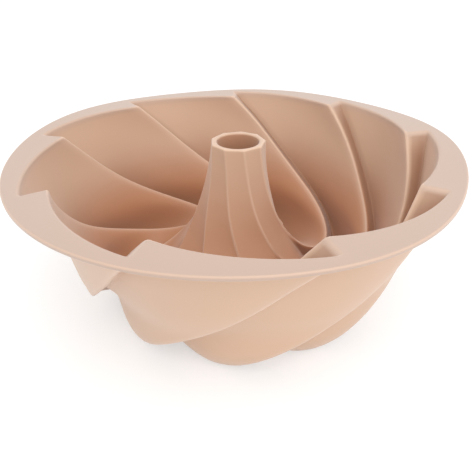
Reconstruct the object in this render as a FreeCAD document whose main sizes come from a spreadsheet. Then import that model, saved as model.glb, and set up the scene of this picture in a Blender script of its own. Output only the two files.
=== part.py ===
import FreeCAD, Part
import math
import os
import Sketcher

os.makedirs("parts", exist_ok=True)
doc = FreeCAD.newDocument("fluted_tube_pan")
V = FreeCAD.Vector
UP = V(0, 0, 1)

# Driving sizes, in millimetres and degrees
SIZES = [
    ("flange_diameter", 260),
    ("flange_thickness", 2.5),
    ("flange_bevel", 0.7),
    ("flange_root", 1.0),
    ("lobe_count", 9),
    ("wall_thickness", 2.0),
    ("rim_radius", 107.5),
    ("rim_lobe", 15),
    ("rim_belly", 0.8),
    ("lip_rise", 4),
    ("lip_radius", 15.8),
    ("lip_round", 0.9),
    ("lip_turn", 128.8),
    ("lip_wall", 5.5),
    ("mouth_radius", 12.5),
    ("mouth_bevel", 0.9),
    ("ridge_step", 0.4),
]

# Stations on the crest line: down the wall, across the floor and up the tube
# The drop is measured down from the flange's top face, the turn clockwise seen from above.
# The lobe is how far the groove stands out from the crest beside it.
# The belly bows the middle of the lobe outwards, the swell moves its fullness to the groove side.
STATIONS = {
    "wall": {"radius": 102.7, "drop": 24.2, "turn": 12.7, "lobe": 8.7, "belly": 0.7, "swell": 0.3},
    "waist": {"radius": 95, "drop": 49.7, "turn": 28.1, "lobe": 7.5, "belly": -1.6, "swell": 1.6},
    "haunch": {"radius": 84.1, "drop": 71.2, "turn": 49.3, "lobe": 10.2, "belly": -3.7, "swell": 1.1},
    "floor": {"radius": 71, "drop": 79.6, "turn": 66, "lobe": 16.8, "belly": 2.1, "swell": 3},
    "foot": {"radius": 49.5, "drop": 73.2, "turn": 84.6, "lobe": 9.3, "belly": 1.4},
    "neck": {"radius": 32.3, "drop": 53.9, "turn": 99.3, "lobe": 2.5},
    "tube": {"radius": 23, "drop": 32.8, "turn": 112.3},
    "collar": {"radius": 18.1, "drop": 12, "turn": 121.5},
}
for place, values in STATIONS.items():
    SIZES.extend(("%s_%s" % (place, name), value) for name, value in values.items())

sheet = doc.addObject("Spreadsheet::Sheet", "sizes")
for row, (name, value) in enumerate(SIZES, start=1):
    sheet.set("A%d" % row, name)
    sheet.set("B%d" % row, str(value))
    sheet.setAlias("B%d" % row, name)
doc.recompute()
known = {name for name, value in SIZES}


def size(name, otherwise=0.0):
    """Plain number of a sheet size, or another number where the sheet has none."""
    return float(getattr(sheet, name)) if name in known else otherwise


lobes = int(round(size("lobe_count")))
pitch = 360.0 / lobes
lip_top = size("lip_rise")
shoulder_radius = size("lip_radius") + size("lip_round")
shoulder_height = lip_top - size("lip_round")


def chord_bow(radius):
    """How far a flat facet of the tube lies inside the circle through its ridges."""
    return radius * (1.0 - math.cos(math.radians(pitch / 2.0)))


# Each station is radius, height over the flange's top face, turn, lobe, belly, swell
line = [(size("rim_radius"), 0.0, 0.0, size("rim_lobe"), size("rim_belly"), 0.0)]
for place in STATIONS:
    radius = size(place + "_radius")
    line.append((
        radius,
        -size(place + "_drop"),
        -size(place + "_turn"),
        size(place + "_lobe", size("ridge_step")),
        size(place + "_belly", chord_bow(radius)),
        size(place + "_swell"),
    ))
line.append((
    shoulder_radius,
    shoulder_height,
    -size("lip_turn"),
    size("ridge_step"),
    chord_bow(shoulder_radius),
    0.0,
))

# Smooth curves through the stations, all on the same knots
knots = [0.0]
for before, after in zip(line, line[1:]):
    knots.append(knots[-1] + math.hypot(after[0] - before[0], after[1] - before[1]))


def smooth_line(first, second, third):
    """Curve through three values of every station."""
    curve = Part.BSplineCurve()
    points = [V(station[first], station[second], station[third]) for station in line]
    curve.interpolate(Points=points, Parameters=knots)
    return curve


crest_line = smooth_line(0, 2, 1)
lobe_line = smooth_line(3, 4, 5)
neck_knot, tube_knot, shoulder_knot = knots[6], knots[7], knots[-1]


def smooth_step(value, low, high):
    """Rises softly from 0 at low to 1 at high."""
    part = min(max((value - low) / (high - low), 0.0), 1.0)
    return part * part * (3.0 - 2.0 * part)


# Flat facets follow the form: this many across a lobe, and this many rows to each span
FACETS_ACROSS = 6
ROWS_IN_SPAN = (4, 4, 5, 5, 5, 5, 3, 2, 1)


def lobe_row(knot, outside):
    """Points across one lobe at one knot, from its crest to its groove."""
    crest = crest_line.value(knot)
    along = crest_line.getDN(knot, 1)
    form = lobe_line.value(knot)
    step = math.hypot(along.x, along.z)
    # the lobe stands square to the crest line, but level at both ends
    out_radius, out_height = -along.z / step, along.x / step
    if knot in (knots[0], shoulder_knot):
        out_radius, out_height = (1.0 if knot == knots[0] else -1.0), 0.0
    reach = max(form.x, size("ridge_step"))
    shift, gap = 0.0, 0.0
    if outside:
        # the riser underneath lies one wall further round, measured square to its slant
        middle = crest.x + out_radius * reach / 2.0
        slant = math.cos(math.atan(math.radians(along.y) / step * crest.x))
        shift = math.degrees(size("wall_thickness") / (middle * slant)) / pitch
        shift *= 1.0 - smooth_step(knot, neck_knot, tube_knot)
        thicker = smooth_step(knot, tube_knot, shoulder_knot)
        gap = size("wall_thickness") * (1.0 - thicker) + size("lip_wall") * thicker
    points = []
    for index in range(FACETS_ACROSS + 1):
        share = index / FACETS_ACROSS + shift
        hump = share * (1.0 - share)
        bow = 4.0 * form.y * hump - 8.0 * form.z * hump * (1.0 - 2.0 * share)
        depth = reach * share + bow + gap
        radius = crest.x + out_radius * depth
        angle = math.radians(crest.y + pitch * share)
        height = crest.z + out_height * depth
        points.append(V(radius * math.cos(angle), radius * math.sin(angle), height))
    return points


def fluted_form(outside, top):
    """Ring-shaped solid under a level top, bounded by the fluted surface."""
    begin = size("flange_thickness") + size("flange_root") if outside else knots[0]
    places = [begin]
    for low, high, count in zip(knots, knots[1:], ROWS_IN_SPAN):
        evenly = (low + (high - low) * step / count for step in range(count))
        places.extend(knot for knot in evenly if knot > begin)
    rows = [lobe_row(knot, outside) for knot in places]
    if outside:
        # a bevelled inner corner joins the wall to the underside of the flange
        corner = []
        for point in lobe_row(knots[0], outside):
            widened = 1.0 + size("flange_root") / math.hypot(point.x, point.y)
            corner.append(V(point.x * widened, point.y * widened, -size("flange_thickness")))
        rows.insert(0, corner)
    shoulder = lobe_row(shoulder_knot, outside)
    inwards = size("lip_radius") / shoulder_radius
    lip = [V(point.x * inwards, point.y * inwards, lip_top) for point in shoulder]
    rows.extend([shoulder, lip])
    # straight walls carry both level ends up to the top
    rows.insert(0, [V(point.x, point.y, top) for point in rows[0]])
    if top > lip_top:
        rows.append([V(point.x, point.y, top) for point in lip])
    rings = []
    for row in rows:
        ring = []
        for lobe in range(lobes):
            turned = FreeCAD.Rotation(UP, pitch * lobe)
            ring.extend(turned.multVec(point) for point in row)
        rings.append(ring)
    faces = []
    for upper, lower in zip(rings, rings[1:]):
        for index, first in enumerate(upper):
            following = (index + 1) % len(upper)
            second, third, fourth = upper[following], lower[following], lower[index]
            if first.distanceToPoint(third) < second.distanceToPoint(fourth):
                halves = ((first, second, third), (first, third, fourth))
            else:
                halves = ((first, second, fourth), (second, third, fourth))
            for corners in halves:
                faces.append(Part.Face(Part.makePolygon([*corners, corners[0]])))
    edges = [Part.makePolygon(ring + [ring[0]]) for ring in (rings[0], rings[-1])]
    faces.append(Part.makeFace(edges, "Part::FaceMakerBullseye"))
    skin = Part.makeCompound(faces)
    skin.sewShape(0.001)
    solid = Part.Solid(skin.Shells[0])
    if solid.Volume < 0:
        solid.reverse()
    return solid


# Filled form of the underside, and the cavity that is taken out of it
underside = doc.addObject("Part::Feature", "underside_form")
underside.Shape = fluted_form(True, lip_top)
cavity = doc.addObject("Part::Feature", "cavity_form")
cavity.Shape = fluted_form(False, 2.0 * lip_top)

# Flange: a flat ring with bevelled outer edges, which reaches in to where the cavity cuts it
flange = doc.addObject("PartDesign::Body", "flange")
ring_sketch = flange.newObject("Sketcher::SketchObject", "flange_ring")
for index, expression in enumerate(("sizes.flange_diameter / 2", "sizes.rim_radius - 15")):
    ring_sketch.addGeometry(Part.Circle(V(0, 0, 0), UP, 100 - 20 * index), False)
    ring_sketch.addConstraint(Sketcher.Constraint("Coincident", index, 3, -1, 1))
    held = ring_sketch.addConstraint(Sketcher.Constraint("Radius", index, 100 - 20 * index))
    ring_sketch.setExpression("Constraints[%d]" % held, expression)
flange_pad = flange.newObject("PartDesign::Pad", "flange_pad")
flange_pad.Profile = ring_sketch
flange_pad.Reversed = True
flange_pad.setExpression("Length", "sizes.flange_thickness")
doc.recompute()
outer_edges = []
for index, edge in enumerate(flange_pad.Shape.Edges, start=1):
    closed = len(edge.Vertexes) == 1
    if closed and abs(edge.Curve.Radius - size("flange_diameter") / 2.0) < 0.001:
        outer_edges.append("Edge%d" % index)
flange_bevel = flange.newObject("PartDesign::Chamfer", "flange_bevel")
flange_bevel.Base = (flange_pad, outer_edges)
flange_bevel.setExpression("Size", "sizes.flange_bevel")

# Trimmed away: what stands over the flange outside the tube
trim_outer = doc.addObject("Part::Cylinder", "trim_outer")
trim_outer.setExpression("Radius", "sizes.flange_diameter / 2 + 10")
trim_outer.setExpression("Height", "2 * sizes.lip_rise")
trim_inner = doc.addObject("Part::Cylinder", "trim_inner")
trim_inner.setExpression("Radius", "(sizes.rim_radius + sizes.neck_radius) / 2")
trim_inner.setExpression("Height", "2 * sizes.lip_rise")
trim_ring = doc.addObject("Part::Cut", "trim_ring")
trim_ring.Base = trim_outer
trim_ring.Tool = trim_inner

# Mouth of the tube: a true bore with a bevelled edge, open to the hollow cone below
mouth_bore = doc.addObject("Part::Cylinder", "mouth_bore")
mouth_bore.setExpression("Radius", "sizes.mouth_radius")
mouth_bore.setExpression("Height", "sizes.floor_drop + 2 * sizes.lip_rise")
mouth_bore.setExpression("Placement.Base.z", "-sizes.floor_drop")
mouth_edge = doc.addObject("Part::Cone", "mouth_edge")
mouth_edge.setExpression("Radius1", "sizes.mouth_radius")
mouth_edge.setExpression("Radius2", "sizes.mouth_radius + sizes.mouth_bevel")
mouth_edge.setExpression("Height", "sizes.mouth_bevel")
mouth_edge.setExpression("Placement.Base.z", "sizes.lip_rise - sizes.mouth_bevel")

# The pan: underside form and flange, less the trims, less the cavity
blank = doc.addObject("Part::Fuse", "blank")
blank.Base = underside
blank.Tool = flange
trims = doc.addObject("Part::MultiFuse", "trims")
trims.Shapes = [trim_ring, mouth_bore, mouth_edge]
trimmed = doc.addObject("Part::Cut", "trimmed")
trimmed.Base = blank
trimmed.Tool = trims
pan = doc.addObject("Part::Cut", "pan")
pan.Base = trimmed
pan.Tool = cavity
for step in (blank, trimmed, pan):
    step.Refine = False

# It stands on the plane z = 0
lowest = underside.Shape.optimalBoundingBox(False, False).ZMin
pan.Placement = FreeCAD.Placement(V(0, 0, -lowest), FreeCAD.Rotation())
doc.recompute()

for item in doc.Objects:
    if "Invalid" in item.State or "Error" in item.State:
        raise RuntimeError("%s did not build: %s" % (item.Label, item.State))
for item in (underside, cavity, flange, trims, blank, trimmed, pan):
    if item.Shape.isNull() or not item.Shape.isValid():
        raise RuntimeError("%s has no valid shape" % item.Label)
if len(pan.Shape.Solids) != 1:
    raise RuntimeError("the pan is not one solid")
pan.Shape.exportStep("parts/%s.step" % pan.Label)
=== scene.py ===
import math

import bpy
import numpy as np
from mathutils import Matrix, Vector


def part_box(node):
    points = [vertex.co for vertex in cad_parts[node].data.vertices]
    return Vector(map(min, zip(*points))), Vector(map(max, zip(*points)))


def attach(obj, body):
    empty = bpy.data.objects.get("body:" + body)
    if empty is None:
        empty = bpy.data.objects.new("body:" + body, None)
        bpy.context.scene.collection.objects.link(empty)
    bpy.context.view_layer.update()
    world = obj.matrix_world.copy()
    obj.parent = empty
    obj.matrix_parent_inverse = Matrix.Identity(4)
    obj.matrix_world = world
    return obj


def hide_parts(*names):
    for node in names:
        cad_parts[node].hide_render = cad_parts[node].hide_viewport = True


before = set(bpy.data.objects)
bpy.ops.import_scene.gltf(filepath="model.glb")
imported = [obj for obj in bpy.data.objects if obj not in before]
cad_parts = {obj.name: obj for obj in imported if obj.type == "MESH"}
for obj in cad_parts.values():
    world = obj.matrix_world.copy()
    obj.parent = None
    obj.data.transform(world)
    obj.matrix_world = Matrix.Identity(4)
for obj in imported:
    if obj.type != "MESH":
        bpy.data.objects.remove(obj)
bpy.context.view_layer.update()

bpy.ops.object.select_all(action="DESELECT")

# Pan
# One moulded silicone body: flange, swirled nine-lobed wall, floor, centre tube and its lip.
# A torus primitive is laid ring by ring along the pan's section: over the flange, down the
# cavity, up the tube, down its bore and back underneath, in mm from the flange's top face.
LOBES = 9
PITCH = 360.0 / LOBES
WALL = 2.0
FLANGE_RADIUS = 130.0
FLANGE_THICK = 2.5
LIP_TOP = 4.0
LIP_WALL = 5.5
BORE = 12.5
RIDGE_STEP = 0.4


def chord_bow(radius):
    """How far a flat facet of the tube lies inside the circle through its ridges."""
    return radius * (1.0 - math.cos(math.radians(PITCH / 2.0)))


# Crest radius, height, turn, lobe, belly and swell at each station from the rim to the lip
STATIONS = np.array([
    (107.5, 0.0, 0.0, 15.0, 0.8, 0.0),
    (102.7, -24.2, -12.7, 8.7, 0.7, 0.3),
    (95.0, -49.7, -28.1, 7.5, -1.6, 1.6),
    (84.1, -71.2, -49.3, 10.2, -3.7, 1.1),
    (71.0, -79.6, -66.0, 16.8, 2.1, 3.0),
    (49.5, -73.2, -84.6, 7.2, 1.4, 0.0),
    (32.3, -53.9, -99.3, 1.2, chord_bow(32.3), 0.0),
    (23.0, -32.8, -112.3, RIDGE_STEP, chord_bow(23.0), 0.0),
    (18.1, -12.0, -121.5, RIDGE_STEP, chord_bow(18.1), 0.0),
    (16.7, 3.1, -128.8, RIDGE_STEP, chord_bow(16.7), 0.0),
])
KNOTS = np.concatenate(([0.0], np.cumsum(np.hypot(*np.diff(STATIONS[:, :2], axis=0).T))))
NECK, TUBE, END = KNOTS[6], KNOTS[7], KNOTS[-1]


def end_slope(knots, values):
    """Slope at the first of four knots of the cubic through their values."""
    slope = np.zeros(values.shape[1])
    for i in range(4):
        others = [j for j in range(4) if j != i]
        below = np.prod([knots[i] - knots[j] for j in others])
        above = sum(
            np.prod([knots[0] - knots[k] for k in others if k != j]) for j in others
        )
        slope += values[i] * above / below
    return slope


def station_slopes():
    """Slopes at the stations of one smooth curve through all of them."""
    count = len(KNOTS)
    rule = np.zeros((count, count))
    right = np.zeros(STATIONS.shape)
    rule[0, 0] = rule[-1, -1] = 1.0
    right[0] = end_slope(KNOTS[:4], STATIONS[:4])
    right[-1] = end_slope(KNOTS[:-5:-1], STATIONS[:-5:-1])
    for i in range(1, count - 1):
        before, after = KNOTS[i] - KNOTS[i - 1], KNOTS[i + 1] - KNOTS[i]
        rule[i, i - 1:i + 2] = after, 2.0 * (before + after), before
        down = (STATIONS[i] - STATIONS[i - 1]) / before
        up = (STATIONS[i + 1] - STATIONS[i]) / after
        right[i] = 3.0 * (after * down + before * up)
    return np.linalg.solve(rule, right)


SLOPES = station_slopes()


def along(knot):
    """Values and slopes of the six station quantities at a knot."""
    i = min(max(int(np.searchsorted(KNOTS, knot)) - 1, 0), len(KNOTS) - 2)
    span = KNOTS[i + 1] - KNOTS[i]
    t = (knot - KNOTS[i]) / span
    a, b, m, n = STATIONS[i], STATIONS[i + 1], SLOPES[i] * span, SLOPES[i + 1] * span
    value = (
        (2 * t ** 3 - 3 * t ** 2 + 1) * a + (t ** 3 - 2 * t ** 2 + t) * m
        + (3 * t ** 2 - 2 * t ** 3) * b + (t ** 3 - t ** 2) * n
    )
    slope = (
        (6 * t ** 2 - 6 * t) * (a - b) + (3 * t ** 2 - 4 * t + 1) * m + (3 * t ** 2 - 2 * t) * n
    )
    return value, slope / span


def soft(value, low, high):
    """Rises softly from 0 at low to 1 at high."""
    part = min(max((value - low) / (high - low), 0.0), 1.0)
    return part * part * (3.0 - 2.0 * part)


# Columns of one lobe: its ramp, the rounded groove, the riser and the rounded ridge
RAMP_STEPS = 16
ROUND_STEPS = 4
RISER_STEPS = 4
COLUMNS = RAMP_STEPS + 2 * ROUND_STEPS + RISER_STEPS
GROOVE_AT = RAMP_STEPS
RISER_AT = GROOVE_AT + ROUND_STEPS
RIDGE_AT = RISER_AT + RISER_STEPS

# How far the rounding of a ridge and of a groove reaches, in the cavity and underneath, and the
# shares of the lobe and of its step that it takes at most
RIDGE_LEG = 2.2
RIDGE_LEG_LOSS = 1.0
GROOVE_LEG = 1.4
UNDER_RIDGE_LEG = 1.2
UNDER_GROOVE_LEG = 3.2
RIDGE_SHARE = 0.2
GROOVE_SHARE = 0.25
STEP_SHARE = 0.9

# Painted highlight and painted shade in the colour of each column where the lobe ends in a step, in
# the cavity and underneath, and painted highlight where the step has died out into a soft ridge
lit_sharp = np.zeros((2, COLUMNS))
lit_sharp[0, RIDGE_AT:] = 0.1, 0.5, 0.85, 0.8
lit_sharp[0, :2] = 0.5, 0.1
lit_sharp[1, GROOVE_AT + 1:RISER_AT] = 0.25, 0.4, 0.25
# painted shade down each riser and its rounds
dim_riser = np.zeros(COLUMNS)
dim_riser[GROOVE_AT:RIDGE_AT + 1] = -0.3, -0.6, -0.9, -1.0, -1.0, -1.0, -0.9, -0.8, -0.3
# painted shade on the ramp where it runs into the groove, further down the wall
dim_groove = np.zeros(COLUMNS)
dim_groove[GROOVE_AT - 6:GROOVE_AT + 2] = -0.05, -0.12, -0.2, -0.3, -0.4, -0.5, -0.3, -0.1
# painted highlight over a soft ridge
lit_round = np.zeros((2, COLUMNS))
lit_round[0, GROOVE_AT + 1:] = 0.85 * np.sin(np.pi * np.arange(1, 12) / 12) ** 2
# share of the painted riser shade that is left at the rim
DIM_AT_RIM = 0.6

# Painted shade in the colour, deeper and warmer down into the cavity: how much the upper wall has,
# and what the floor, the foot of the tube, the tube and the tube's underside add or take away
WALL_DEPTH = 0.35
FLOOR_MORE = 0.65
FOOT_LESS = 0.2
TUBE_LESS = 0.45
UNDER_TUBE_MORE = 0.5


def painted_tones(knot, outside, sharp):
    """Painted edge highlight and step shade of every column, and painted depth shade, at one knot,
    in mm along from the rim.
    """
    light = lit_sharp[int(outside)] * sharp + lit_round[int(outside)] * (1 - sharp)
    if outside:
        return light, WALL_DEPTH + UNDER_TUBE_MORE * soft(knot, NECK, TUBE)
    dim = dim_riser * (DIM_AT_RIM + (1.0 - DIM_AT_RIM) * soft(knot, 0.0, 12.0))
    dim = dim + dim_groove * soft(knot, 24.0, 52.0)
    painted_depth_shade = WALL_DEPTH * soft(knot, -1.0, 5.0) + FLOOR_MORE * soft(knot, 26.0, 68.0)
    painted_depth_shade -= FOOT_LESS * soft(knot, 108.0, NECK) + TUBE_LESS * soft(knot, NECK, END)
    return light + dim * sharp, painted_depth_shade


def quad_curve(a, b, c, t):
    """Point of a curve from a to c that b pulls on."""
    return (1 - t) ** 2 * a + 2 * t * (1 - t) * b + t ** 2 * c


def ring_at(knot, outside):
    """All points round the pan at one knot, on the cavity or on the underside."""
    (radius, height, turn, lobe, belly, swell), slope = along(knot)
    step = math.hypot(slope[0], slope[1])
    tilt = soft(knot, 0.0, 8.0)
    out = np.array((-slope[1] / step, slope[0] / step)) * tilt + np.array((1.0, 0.0)) * (1 - tilt)
    out /= np.linalg.norm(out)
    reach = max(lobe, RIDGE_STEP)
    slant = math.cos(math.atan(math.radians(slope[2]) / step * radius))
    shift, gap = 0.0, 0.0
    ridge_leg, groove_leg = RIDGE_LEG - RIDGE_LEG_LOSS * soft(knot, 5.0, 45.0), GROOVE_LEG
    if outside:
        middle = radius + out[0] * reach / 2.0
        shift = math.degrees(WALL / (middle * slant)) / PITCH * (1.0 - soft(knot, NECK, TUBE))
        thicker = soft(knot, TUBE, END)
        gap = WALL * (1.0 - thicker) + LIP_WALL * thicker
        ridge_leg, groove_leg = UNDER_RIDGE_LEG, UNDER_GROOVE_LEG

    def point(share):
        share = share + shift
        hump = share * (1.0 - share)
        bow = 4.0 * belly * hump - 8.0 * swell * hump * (1.0 - 2.0 * share)
        depth = reach * share + bow + gap
        angle = math.radians(turn + PITCH * share)
        place = radius + out[0] * depth
        return np.array((
            place * math.cos(angle), place * math.sin(angle), height + out[1] * depth
        ))

    arc = math.radians(PITCH) * radius * slant
    low, high = min(ridge_leg / arc, RIDGE_SHARE), 1.0 - min(groove_leg / arc, GROOVE_SHARE)
    next_lobe = np.array(Matrix.Rotation(math.radians(PITCH), 3, "Z"))
    groove, crest = point(1.0), next_lobe @ point(0.0)
    begin, finish = point(high), next_lobe @ point(low)
    rise = np.linalg.norm(crest - groove)
    fit = min(1.0, rise / (ridge_leg + groove_leg) * STEP_SHARE)
    leave = groove + (crest - groove) * groove_leg * fit / rise
    arrive = crest + (groove - crest) * ridge_leg * fit / rise
    points = [point(low + (high - low) * i / RAMP_STEPS) for i in range(RAMP_STEPS + 1)]
    stepped = [quad_curve(begin, groove, leave, i / ROUND_STEPS) for i in range(1, ROUND_STEPS + 1)]
    stepped += [leave + (arrive - leave) * i / RISER_STEPS for i in range(1, RISER_STEPS + 1)]
    stepped += [quad_curve(arrive, crest, finish, i / ROUND_STEPS) for i in range(1, ROUND_STEPS)]
    # where the step dies out, as on the tube, the ridge is one soft round
    sharp = soft(reach, 1.0, 4.0)
    for i, place in enumerate(stepped, start=1):
        t = i / (len(stepped) + 1)
        ridge = (
            (1 - t) ** 3 * begin + 3 * t * (1 - t) ** 2 * groove
            + 3 * t ** 2 * (1 - t) * crest + t ** 3 * finish
        )
        points.append(place * sharp + ridge * (1 - sharp))
    light, painted_depth_shade = painted_tones(knot, outside, sharp)
    turns = [np.array(Matrix.Rotation(math.radians(PITCH * k), 3, "Z")) for k in range(LOBES)]
    ring = np.concatenate([np.array(points) @ turn.T for turn in turns])
    return np.column_stack((ring, np.tile(light, LOBES), np.full(len(ring), painted_depth_shade)))


CORNER_PASSES = 8


def widened(ring, by, level, light=0.0):
    """A ring moved outwards in plan by some distance, at one level, with at least the given painted
    highlight.
    """
    plan = ring[:, :2]
    run = np.roll(plan, -1, axis=0) - np.roll(plan, 1, axis=0)
    run /= np.linalg.norm(run, axis=1)[:, None]
    square = np.stack((run[:, 1], -run[:, 0]), axis=1)
    # near a corner neighbours move together, so that the edge doesn't fold
    for _ in range(CORNER_PASSES):
        square = (np.roll(square, 1, axis=0) + 2 * square + np.roll(square, -1, axis=0)) / 4
    lit = np.maximum(ring[:, 3], light)
    return np.column_stack((plan + square * by, np.full(len(plan), level), lit, ring[:, 4]))


def mixed(a, b, share):
    """A value or a ring between two others."""
    return a * (1.0 - share) + b * share


# Where each column meets the outer edge, as a share of its lobe
RIM_LEAD = 0.065
meets = np.interp(
    np.arange(COLUMNS) / COLUMNS,
    (0.0, RAMP_STEPS / COLUMNS, 1.0), (RIM_LEAD, 1.0, 1.0 + RIM_LEAD)
)
rim_angles = np.radians(np.concatenate([PITCH * (k + meets) for k in range(LOBES)]))


def circle(radius, level, light=0.0):
    """A ring on a circle round the axis, with a given painted highlight and no painted depth shade.
    """
    flat = np.ones(len(rim_angles))
    return np.column_stack((
        radius * np.cos(rim_angles), radius * np.sin(rim_angles), level * flat, light * flat,
        0.0 * flat
    ))


# Radii of the rounded edges, the painted highlight along them, and the plain margin beside them
EDGE = 1.0
MOUTH_EDGE = 1.3
FOOT_EDGE = 1.3
BORE_EDGE = 0.3
EDGE_LIGHT = 0.5
MOUTH_LIGHT = 0.3
LIP_LIGHT = 0.7
MARGIN = 0.4
ROWS = 105
QUARTER_STEPS = 4
LIP_STEPS = 8
LIP_FULLNESS = 0.7


def quarter(i):
    """Angle after some of the steps of a rounded edge."""
    return math.radians(90.0 * i / QUARTER_STEPS)


rings = []
# outer edge of the flange, from its middle over the top
for i in range(QUARTER_STEPS + 1):
    angle = quarter(i)
    inwards, down = EDGE * (1 - math.cos(angle)), EDGE * (1 - math.sin(angle))
    # painted highlight along the flange's outer edge
    rings.append(circle(FLANGE_RADIUS - inwards, -down, EDGE_LIGHT * math.sin(2 * angle)))
# top of the flange and the rounded edge of the opening
opening = widened(ring_at(0.0, False), MOUTH_EDGE + MARGIN, 0.0)
opening[:, 3] = 0.0
inner_edge = circle(FLANGE_RADIUS - EDGE - MARGIN, 0.0)
rings += [inner_edge, mixed(inner_edge, opening, 0.5), opening]
for i in range(QUARTER_STEPS + 1):
    angle = quarter(QUARTER_STEPS - i)
    down = MOUTH_EDGE * (1 - math.sin(angle))
    # painted highlight along the opening's edge
    light = MOUTH_LIGHT * math.sin(2 * angle)
    rings.append(widened(ring_at(down, False), MOUTH_EDGE * (1 - math.cos(angle)), -down, light))
# cavity
first = MOUTH_EDGE + 1.0
rings += [ring_at(mixed(first, END, i / ROWS), False) for i in range(ROWS + 1)]
# lip of the tube, from the nine-sided shoulder to the round bore
shoulder = rings[-1]
round_bore = shoulder.copy()
round_bore[:, :2] *= (BORE / np.hypot(shoulder[:, 0], shoulder[:, 1]))[:, None]
round_bore[:, 3] = 0.0
for i in range(1, LIP_STEPS):
    angle = math.radians(180.0 * i / LIP_STEPS)
    ring = mixed(shoulder, round_bore, (1 - math.cos(angle)) / 2)
    ring[:, 2] += (LIP_TOP - shoulder[0, 2]) * math.sin(angle) ** LIP_FULLNESS
    # painted highlight round the lip
    ring[:, 3] = np.maximum(ring[:, 3], LIP_LIGHT * max(math.sin(2 * angle), 0.0))
    rings.append(ring)
# bore and underside
inner_rings = len(rings)
last = FLANGE_THICK + FOOT_EDGE + 0.2
for i in range(ROWS + 1):
    ring = ring_at(mixed(END, last, i / ROWS), True)
    across = np.hypot(ring[:, 0], ring[:, 1])
    wide = BORE + np.logaddexp(0.0, (across - BORE) / BORE_EDGE) * BORE_EDGE
    ring[:, :2] *= (wide / across)[:, None]
    rings.append(ring)
# rounded inner corner under the flange, its underside and the rest of its edge
for i in range(1, QUARTER_STEPS + 1):
    angle = quarter(i)
    down = FLANGE_THICK + FOOT_EDGE * (1 - math.sin(angle))
    rings.append(widened(ring_at(down, True), FOOT_EDGE * (1 - math.cos(angle)), -down))
under_edge = circle(FLANGE_RADIUS - EDGE - MARGIN, -FLANGE_THICK)
rings += [mixed(rings[-1], under_edge, 0.5), under_edge]
for i in range(QUARTER_STEPS):
    angle = quarter(QUARTER_STEPS - i)
    rings.append(circle(
        FLANGE_RADIUS - EDGE * (1 - math.cos(angle)), EDGE * (1 - math.sin(angle)) - FLANGE_THICK
    ))

bpy.ops.mesh.primitive_torus_add(
    major_segments=LOBES * COLUMNS, minor_segments=len(rings), major_radius=0.1, minor_radius=0.05
)
pan = bpy.context.object
pan.name = "pan_body"
laid = np.stack(rings, axis=1)

# The soft body isn't quite true: tube and lower wall lie a little to the right, the outside of
# one lobe at the left hangs lower, and the rim waves. Angles are seen from the camera's side.
VIEW_TURN = math.radians(10.1)
TUBE_LEAN = 2.0
WALL_SHIFT = 2.0
LOW_LOBE_ANGLE = math.radians(215.0)
LOW_LOBE_WIDTH = math.radians(11.0)
LOW_LOBE_OUT = 0.6
LOW_LOBE_DOWN = 2.3
# Waves of the rim outwards and upwards, which come from a fit to its outline in the photograph:
# how often each goes round, with its cosine and sine in mm
OUT_WAVES = {
    0: (0.45, 0.0), 1: (-0.02, 0.18), 2: (-0.92, 0.45), 3: (-0.06, 0.03), 4: (-0.06, 0.21),
    5: (0.11, 0.25), 6: (0.37, 0.03),
}
UP_WAVES = {
    0: (0.09, 0.0), 1: (0.12, -0.54), 2: (0.89, -0.22), 3: (0.24, 0.60), 4: (0.19, -0.32),
    5: (0.46, 0.30),
}

x, y, z = laid[..., 0].copy(), laid[..., 1].copy(), laid[..., 2].copy()
around = np.arctan2(y, x) + VIEW_TURN
away = np.hypot(x, y)


def grown(value, start, span):
    """Rises evenly from 0 at the start to 1 after the span."""
    return np.clip((value - start) / span, 0.0, 1.0)


def waved(waves):
    """All waves together at every point of the rim."""
    return sum(a * np.cos(k * around) + b * np.sin(k * around) for k, (a, b) in waves.items())


near_axis = grown(-away, -62.0, 30.0)
near_axis = near_axis * near_axis * (3 - 2 * near_axis)
lean = TUBE_LEAN * grown(z, -78.0, 82.0) * near_axis
low_lobe = (
    np.exp(-((np.mod(around, 2.0 * math.pi) - LOW_LOBE_ANGLE) / LOW_LOBE_WIDTH) ** 2)
    * grown(away, 89.0, 8.0) * grown(-z, 20.0, 40.0)
)
low_lobe[:, :inner_rings] = 0.0
lean -= LOW_LOBE_OUT * low_lobe
lean += (
    WALL_SHIFT * np.clip(0.5 + 0.5 * np.cos(around) - 0.9 * np.sin(around), 0.0, 1.0)
    * grown(away, 50.0, 15.0) * grown(-z, 8.0, 25.0)
)
near_rim = grown(away, 75.0, 55.0) * grown(z, -55.0, 55.0)
outwards, upwards = near_rim * waved(OUT_WAVES), near_rim * waved(UP_WAVES)
rim_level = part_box("pan")[1][2] * 1000.0 - LIP_TOP
laid[..., 0] += lean * math.cos(-VIEW_TURN)
laid[..., 1] += lean * math.sin(-VIEW_TURN)
laid[..., 0] += outwards * x / away
laid[..., 1] += outwards * y / away
laid[..., 2] += upwards - LOW_LOBE_DOWN * low_lobe
laid[..., 2] += rim_level

pan.data.vertices.foreach_set("co", (laid[..., :3] / 1000.0).ravel())
pan.data.update()
# painted highlights on ridges and edges and painted shade on steps, from 1 to -1, kept on the mesh
painted_edge_light_and_shade = pan.data.attributes.new("painted_edge_light_and_shade", "FLOAT", "POINT")
painted_edge_light_and_shade.data.foreach_set("value", np.clip(laid[..., 3], -1.0, 1.0).ravel())
# painted depth shade: 0 on the flange, rising to 1 on the floor of the cavity
depth = pan.data.attributes.new("depth", "FLOAT", "POINT")
depth.data.foreach_set("value", np.clip(laid[..., 4], 0.0, 1.0).ravel())
bpy.ops.object.mode_set(mode="EDIT")
bpy.ops.mesh.select_all(action="SELECT")
bpy.ops.mesh.normals_make_consistent(inside=False)
bpy.ops.object.mode_set(mode="OBJECT")
bpy.ops.object.shade_smooth()
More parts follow.
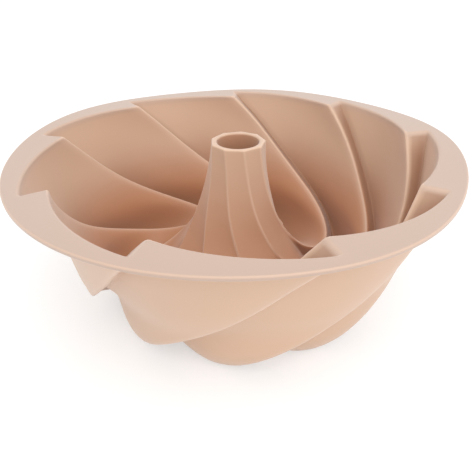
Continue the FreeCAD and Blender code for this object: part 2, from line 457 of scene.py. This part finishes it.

# Matt silicone with painted light and shade in its colour: greyer on the flange as a painted sheen,
# deeper and warmer towards the floor as painted shade, with painted highlights on the ridges and
# painted shade on the steps
FLANGE_TONE_WITH_PAINTED_SHEEN = (0.505, 0.365, 0.29, 1.0)
WALL_TONE = (0.62, 0.415, 0.29, 1.0)
FLOOR_TONE_WITH_PAINTED_SHADE = (0.50, 0.24, 0.13, 1.0)
RIDGE_PAINTED_HIGHLIGHT = (0.71, 0.50, 0.37, 1.0)
STEP_PAINTED_SHADE = (0.33, 0.165, 0.095, 1.0)
silicone = bpy.data.materials.new("silicone")
silicone.use_nodes = True
tree = silicone.node_tree
shader = tree.nodes["Principled BSDF"]
shader.inputs["Roughness"].default_value = 0.5
shader.inputs["Specular IOR Level"].default_value = 0.4
shader.inputs["Sheen Weight"].default_value = 0.35
shader.inputs["Sheen Roughness"].default_value = 0.5


def read(name, scale):
    """An attribute of the mesh times a number, kept from 0 to 1."""
    value = tree.nodes.new("ShaderNodeAttribute")
    value.attribute_name = name
    scaled = tree.nodes.new("ShaderNodeMath")
    scaled.operation = "MULTIPLY"
    scaled.use_clamp = True
    scaled.inputs[1].default_value = scale
    tree.links.new(value.outputs["Fac"], scaled.inputs[0])
    return scaled.outputs[0]


def blended(factor, low, high):
    """The colour from one socket, mixed by another socket towards a fixed colour."""
    mix = tree.nodes.new("ShaderNodeMix")
    mix.data_type = "RGBA"
    tree.links.new(factor, mix.inputs["Factor"])
    tree.links.new(low, mix.inputs[6])
    mix.inputs[7].default_value = high
    return mix.outputs[2]


# colour by the painted depth shade: the flange's painted sheen, the wall's own tone, then the
# floor's painted shade
painted_depth_ramp = tree.nodes.new("ShaderNodeValToRGB")
painted_depth_ramp.color_ramp.elements[0].color = FLANGE_TONE_WITH_PAINTED_SHEEN
painted_depth_ramp.color_ramp.elements[1].color = FLOOR_TONE_WITH_PAINTED_SHADE
painted_depth_ramp.color_ramp.elements.new(WALL_DEPTH).color = WALL_TONE
tree.links.new(read("depth", 1.0), painted_depth_ramp.inputs["Fac"])
# painted highlight towards the pale tone, then painted shade towards the dark one
skin = blended(read("painted_edge_light_and_shade", 1.0), painted_depth_ramp.outputs["Color"], RIDGE_PAINTED_HIGHLIGHT)
skin = blended(read("painted_edge_light_and_shade", -1.0), skin, STEP_PAINTED_SHADE)
tree.links.new(skin, shader.inputs["Base Color"])
pan.data.materials.clear()
pan.data.materials.append(silicone)
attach(pan, "root")
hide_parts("pan")

# Floor
# A plain white sheet that the pan stands on. Seen or mirrored it is white with a pale shadow,
# and the light that it throws back is a plain sheet's.
bpy.ops.mesh.primitive_plane_add(size=8.0, location=(0.0, 0.0, 0.0))
floor = bpy.context.object
floor.name = "floor"
paper = bpy.data.materials.new("paper")
paper.use_nodes = True
sheet = paper.node_tree
white = sheet.nodes["Principled BSDF"]
white.inputs["Roughness"].default_value = 1.0
white.inputs["Specular IOR Level"].default_value = 0.0
white.inputs["Emission Color"].default_value = (1.0, 1.0, 1.0, 1.0)
path = sheet.nodes.new("ShaderNodeLightPath")
seen = path.outputs["Is Camera Ray"]
for other in ("Is Glossy Ray", "Is Transmission Ray"):
    both = sheet.nodes.new("ShaderNodeMath")
    both.operation = "MAXIMUM"
    sheet.links.new(seen, both.inputs[0])
    sheet.links.new(path.outputs[other], both.inputs[1])
    seen = both.outputs[0]
for name, hidden, shown in (("Base Color", 0.9, 0.55), ("Emission Strength", 0.0, 0.5)):
    level = sheet.nodes.new("ShaderNodeMapRange")
    level.inputs["To Min"].default_value = hidden
    level.inputs["To Max"].default_value = shown
    sheet.links.new(seen, level.inputs["Value"])
    sheet.links.new(level.outputs["Result"], white.inputs[name])
floor.data.materials.append(paper)

# Light
# White surroundings and two soft round lamps: the main one over the pan's front, and a weaker
# one low at the front right that opens the shade under the flange.
MAIN_PLACE = (0.1, -0.6, 1.1)
MAIN_POWER = 4.8
LOW_PLACE = (0.45, -1.0, 0.4)
LOW_POWER = 1.6
LAMP_WIDTH = 1.0
LIT_MIDDLE = (0.0, 0.0, 0.05)
world = bpy.data.worlds.new("studio")
bpy.context.scene.world = world
world.use_nodes = True
sky = world.node_tree
sky.nodes["Background"].inputs["Strength"].default_value = 1.0
sky.nodes["Background"].inputs["Color"].default_value = (1.0, 1.0, 1.0, 1.0)


def aimed(start, target):
    """Turn of a lamp at one place that looks at another."""
    ahead = (Vector(target) - Vector(start)).normalized()
    return ahead.to_track_quat("-Z", "Y").to_euler()


for lamp_place, power in ((MAIN_PLACE, MAIN_POWER), (LOW_PLACE, LOW_POWER)):
    bpy.ops.object.light_add(
        type="AREA", location=lamp_place, rotation=aimed(lamp_place, LIT_MIDDLE)
    )
    lamp = bpy.context.object
    lamp.data.shape = "DISK"
    lamp.data.size = LAMP_WIDTH
    lamp.data.energy = power

# Camera
# Placed and turned as the photograph was taken, by a fit to the rim and the opening's corners:
# its eye from the middle of the rim and the way it looks, before the turn round the axis.
EYE = (0.0, -0.28057, 0.10988)
AHEAD = (-0.00084, 0.85412, -0.52008)
ROLL = math.radians(-0.53)
VIEW_ANGLE = math.radians(50.215)
turn = Matrix.Rotation(-VIEW_TURN, 3, "Z")
eye = turn @ Vector(EYE)
ahead = turn @ Vector(AHEAD)
side = ahead.cross(Vector((0.0, 0.0, 1.0))).normalized()
up = side.cross(ahead)
level_side = side * math.cos(ROLL) + up * math.sin(ROLL)
level_up = up * math.cos(ROLL) - side * math.sin(ROLL)
facing = Matrix((level_side, level_up, -ahead)).transposed()
eye.z += rim_level / 1000.0
bpy.ops.object.camera_add(location=eye, rotation=facing.to_euler())
camera = bpy.context.object
camera.data.sensor_width = 36.0
camera.data.angle = VIEW_ANGLE
camera.data.clip_start = 0.01
bpy.context.scene.camera = camera

bpy.context.scene.view_settings.view_transform = "Standard"
